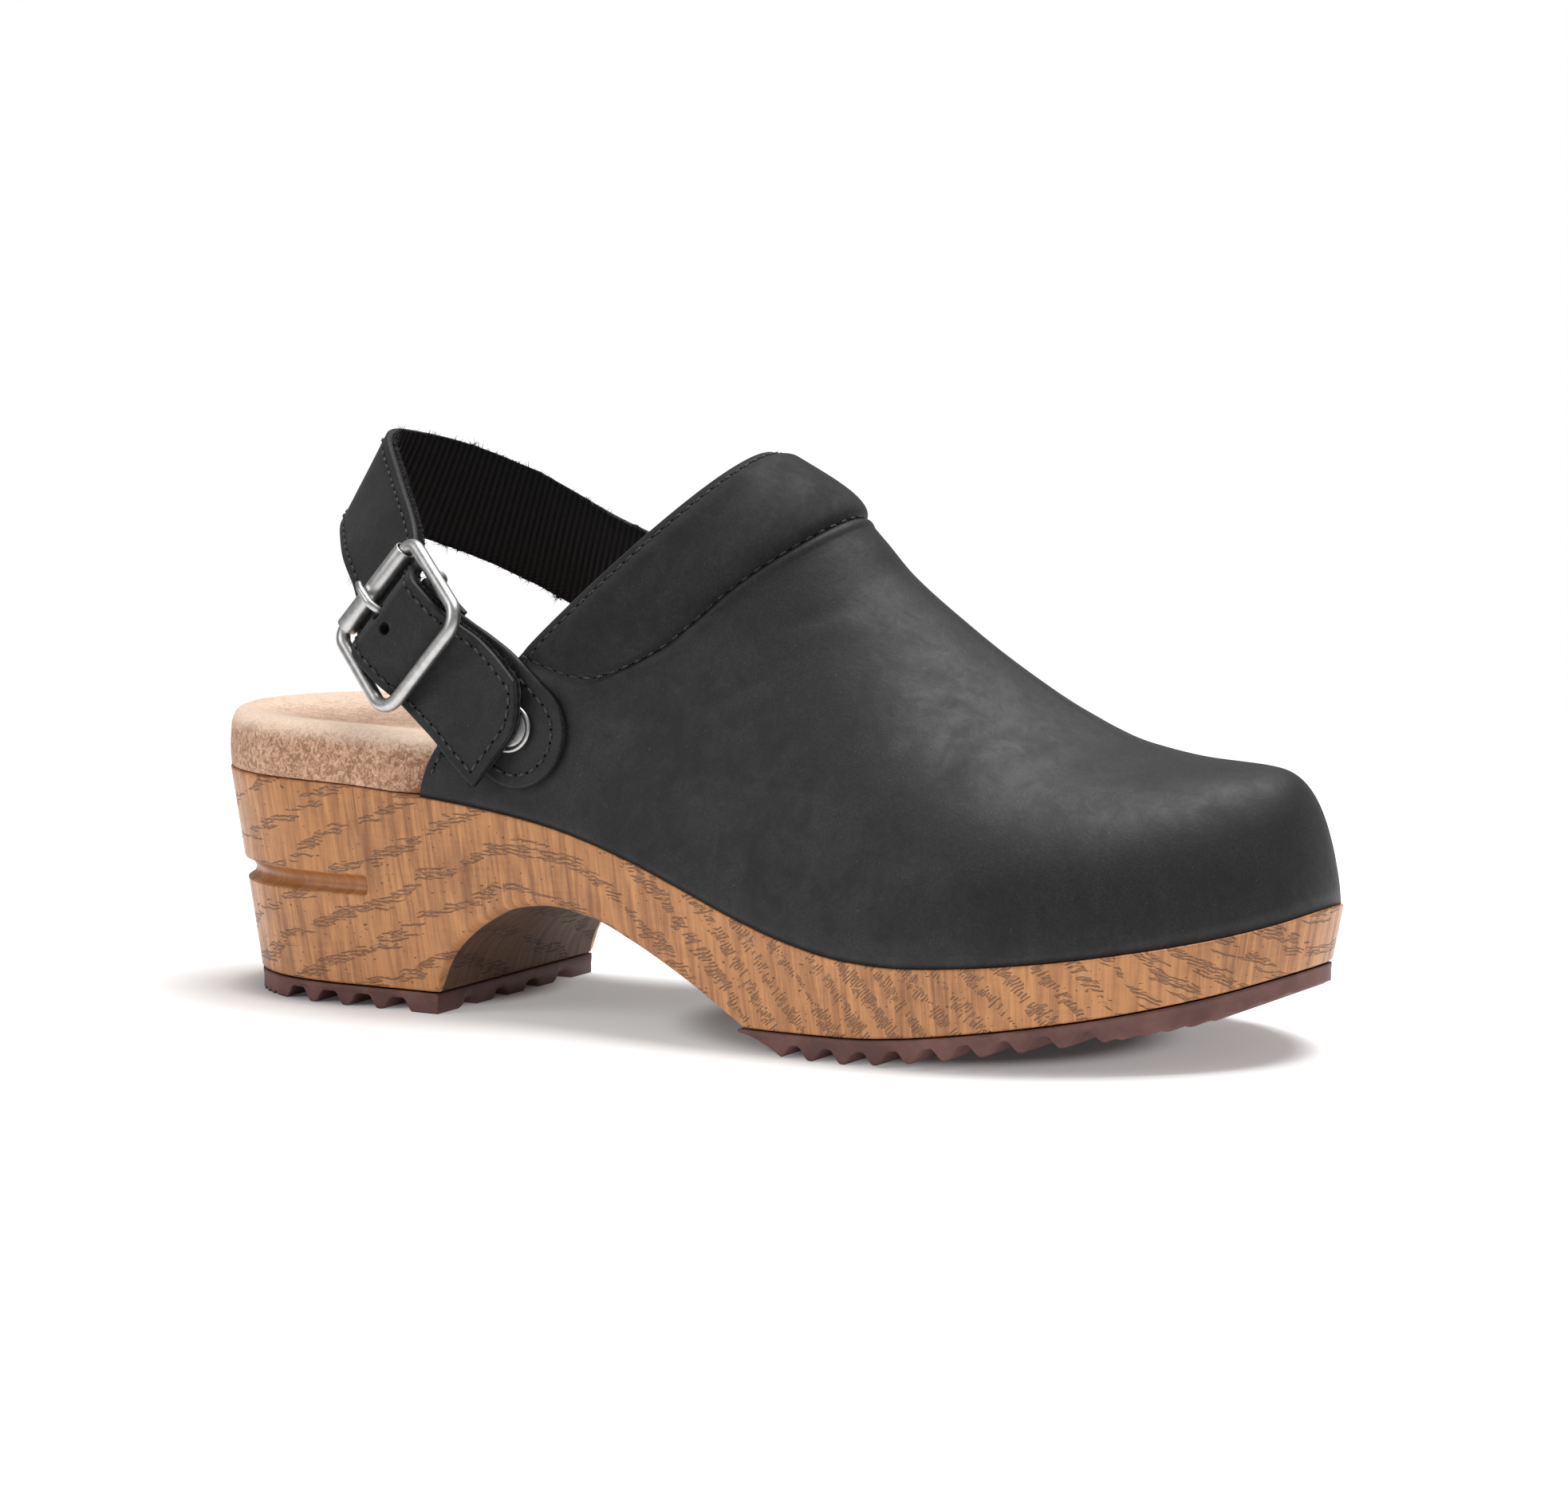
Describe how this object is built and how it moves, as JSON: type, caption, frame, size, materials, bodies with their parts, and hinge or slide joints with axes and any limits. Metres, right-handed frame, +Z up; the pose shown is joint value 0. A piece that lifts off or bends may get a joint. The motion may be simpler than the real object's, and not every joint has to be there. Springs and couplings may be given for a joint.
{
  "type": "slingback platform clog",
  "caption": "Slingback platform clog, right shoe: open-backed leather upper with padded collar on an arched wood-look platform sole with studded rubber treads, and a buckled heel strap.",
  "frame": {"origin": "on the floor under the middle of the shoe's bounding box", "axes": "+X from heel to toe, +Y towards the inner (medial) side of the foot, +Z up"},
  "size_m": [0.2502, 0.0976, 0.1185],
  "materials": {
    "wood": "honey-brown wood look with dark engraved grain, satin",
    "rubber": "dark maroon-brown, matte",
    "suede": "tan suede nap",
    "leather": "black oiled nubuck, matte",
    "steel": "satin steel"
  },
  "bodies": {
    "root": {"sole_unit": "wood", "tread_heel": "rubber", "tread_forefoot": "rubber", "footbed": "suede", "upper": "leather", "heel_strap": "leather", "buckle_tab": "leather", "buckle_frame": "steel", "buckle_roller": "steel", "buckle_prong": "steel", "rivet_lateral": "steel", "rivet_medial": "steel"}
  },
  "joints": []
}
